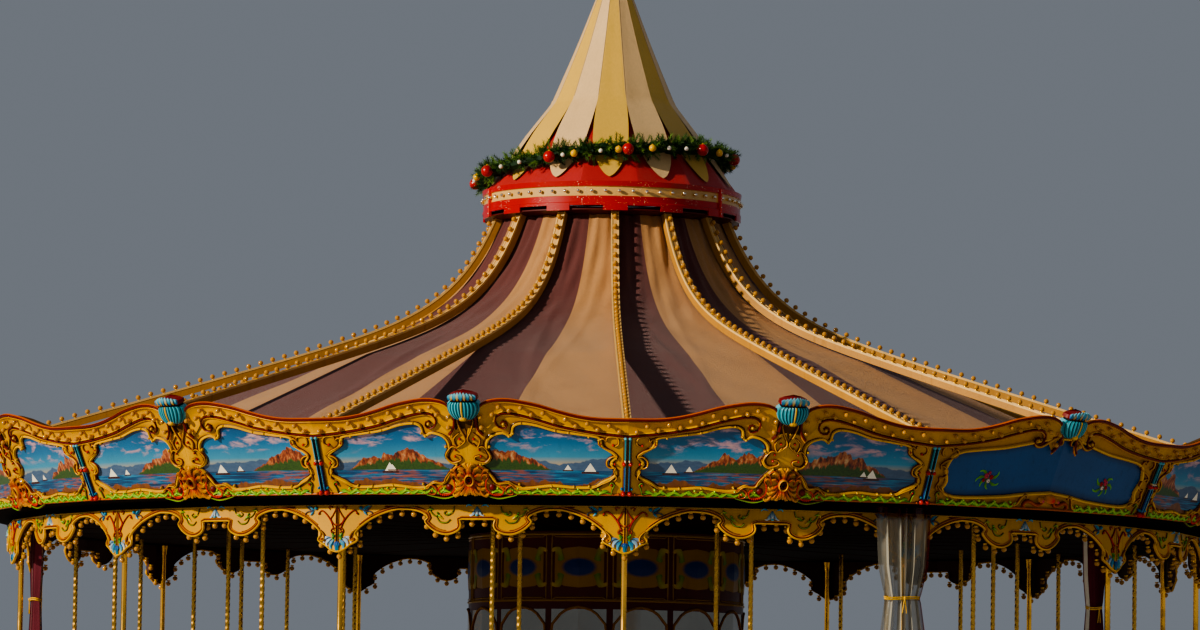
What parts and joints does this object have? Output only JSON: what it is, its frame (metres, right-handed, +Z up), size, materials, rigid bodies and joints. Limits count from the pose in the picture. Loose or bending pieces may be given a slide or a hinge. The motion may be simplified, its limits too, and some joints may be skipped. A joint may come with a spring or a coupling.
{
  "type": "fairground carousel",
  "caption": "Round fairground carousel on a ground frame: a turning deck with rows of horses on poles under a striped canvas top with carved boards.",
  "frame": {"origin": "on the ground under the turning axis", "axes": "+Z up along the turning axis; -Y towards the post that faced the viewer"},
  "size_m": [12.568, 12.33, 9.3603],
  "materials": {
    "steel_frame": "satin, dusty",
    "deck_boards": "matt, worn",
    "red_paint": "gloss",
    "gold_paint": "satin",
    "dark_paint": "matt",
    "brass_tube": "polished",
    "canvas": "matt, striped",
    "cream_canvas": "matt",
    "red_canvas": "matt",
    "rib_paint": "satin",
    "fir": "needles",
    "horse_paint": "gloss",
    "clear_sheet": "clear sheeting, creased",
    "finial_gold": "gloss"
  },
  "bodies": {
    "base": {"base_frame": "steel_frame", "centre_mast": "steel_frame"},
    "turntable": {"deck": "deck_boards", "deck_fascia": "red_paint", "centre_drum": "gold_paint", "ceiling": "dark_paint", "ring_frame": "brass_tube", "light_ribs": "rib_paint", "valance": "gold_paint", "canopy": "canvas", "crown_drum": "red_paint", "crown_skirt": "red_canvas", "spire": "cream_canvas", "finial": "finial_gold", "crown_garland": "fir", "clear_curtain": "clear_sheet", "striped_curtain_left": "red_canvas", "striped_curtain_right": "red_canvas", "cornice_01": "gold_paint", "inner_horse_01": "horse_paint", "cornice_02": "gold_paint", "inner_horse_02": "horse_paint", "cornice_03": "gold_paint", "inner_horse_03": "horse_paint", "cornice_04": "gold_paint", "inner_horse_04": "horse_paint", "cornice_05": "gold_paint", "inner_horse_05": "horse_paint", "cornice_06": "gold_paint", "inner_horse_06": "horse_paint", "cornice_07": "gold_paint", "inner_horse_07": "horse_paint", "cornice_08": "gold_paint", "inner_horse_08": "horse_paint", "cornice_09": "gold_paint", "inner_horse_09": "horse_paint", "cornice_10": "gold_paint", "inner_horse_10": "horse_paint", "cornice_11": "gold_paint", "inner_horse_11": "horse_paint", "cornice_12": "gold_paint", "inner_horse_12": "horse_paint", "cornice_13": "gold_paint", "inner_horse_13": "horse_paint", "cornice_14": "gold_paint", "inner_horse_14": "horse_paint"},
    "horse_01": {"horse_01": "horse_paint"},
    "horse_02": {"horse_02": "horse_paint"},
    "horse_03": {"horse_03": "horse_paint"},
    "horse_04": {"horse_04": "horse_paint"},
    "horse_05": {"horse_05": "horse_paint"},
    "horse_06": {"horse_06": "horse_paint"},
    "horse_07": {"horse_07": "horse_paint"},
    "horse_08": {"horse_08": "horse_paint"},
    "horse_09": {"horse_09": "horse_paint"},
    "horse_10": {"horse_10": "horse_paint"},
    "horse_11": {"horse_11": "horse_paint"},
    "horse_12": {"horse_12": "horse_paint"},
    "horse_13": {"horse_13": "horse_paint"},
    "horse_14": {"horse_14": "horse_paint"}
  },
  "joints": [
    {"name": "turntable_spin", "type": "hinge", "parent": "base", "child": "turntable", "pos_m": [0, 0, 0], "axis": [0, 0, 1], "continuous": true},
    {"name": "horse_01_rise", "type": "slide", "parent": "turntable", "child": "horse_01", "axis": [0, 0, 1], "range_m": [-0.14, 0.14]},
    {"name": "horse_02_rise", "type": "slide", "parent": "turntable", "child": "horse_02", "axis": [0, 0, 1], "range_m": [-0.14, 0.14]},
    {"name": "horse_03_rise", "type": "slide", "parent": "turntable", "child": "horse_03", "axis": [0, 0, 1], "range_m": [-0.14, 0.14]},
    {"name": "horse_04_rise", "type": "slide", "parent": "turntable", "child": "horse_04", "axis": [0, 0, 1], "range_m": [-0.14, 0.14]},
    {"name": "horse_05_rise", "type": "slide", "parent": "turntable", "child": "horse_05", "axis": [0, 0, 1], "range_m": [-0.14, 0.14]},
    {"name": "horse_06_rise", "type": "slide", "parent": "turntable", "child": "horse_06", "axis": [0, 0, 1], "range_m": [-0.14, 0.14]},
    {"name": "horse_07_rise", "type": "slide", "parent": "turntable", "child": "horse_07", "axis": [0, 0, 1], "range_m": [-0.14, 0.14]},
    {"name": "horse_08_rise", "type": "slide", "parent": "turntable", "child": "horse_08", "axis": [0, 0, 1], "range_m": [-0.14, 0.14]},
    {"name": "horse_09_rise", "type": "slide", "parent": "turntable", "child": "horse_09", "axis": [0, 0, 1], "range_m": [-0.14, 0.14]},
    {"name": "horse_10_rise", "type": "slide", "parent": "turntable", "child": "horse_10", "axis": [0, 0, 1], "range_m": [-0.14, 0.14]},
    {"name": "horse_11_rise", "type": "slide", "parent": "turntable", "child": "horse_11", "axis": [0, 0, 1], "range_m": [-0.14, 0.14]},
    {"name": "horse_12_rise", "type": "slide", "parent": "turntable", "child": "horse_12", "axis": [0, 0, 1], "range_m": [-0.14, 0.14]},
    {"name": "horse_13_rise", "type": "slide", "parent": "turntable", "child": "horse_13", "axis": [0, 0, 1], "range_m": [-0.14, 0.14]},
    {"name": "horse_14_rise", "type": "slide", "parent": "turntable", "child": "horse_14", "axis": [0, 0, 1], "range_m": [-0.14, 0.14]}
  ]
}
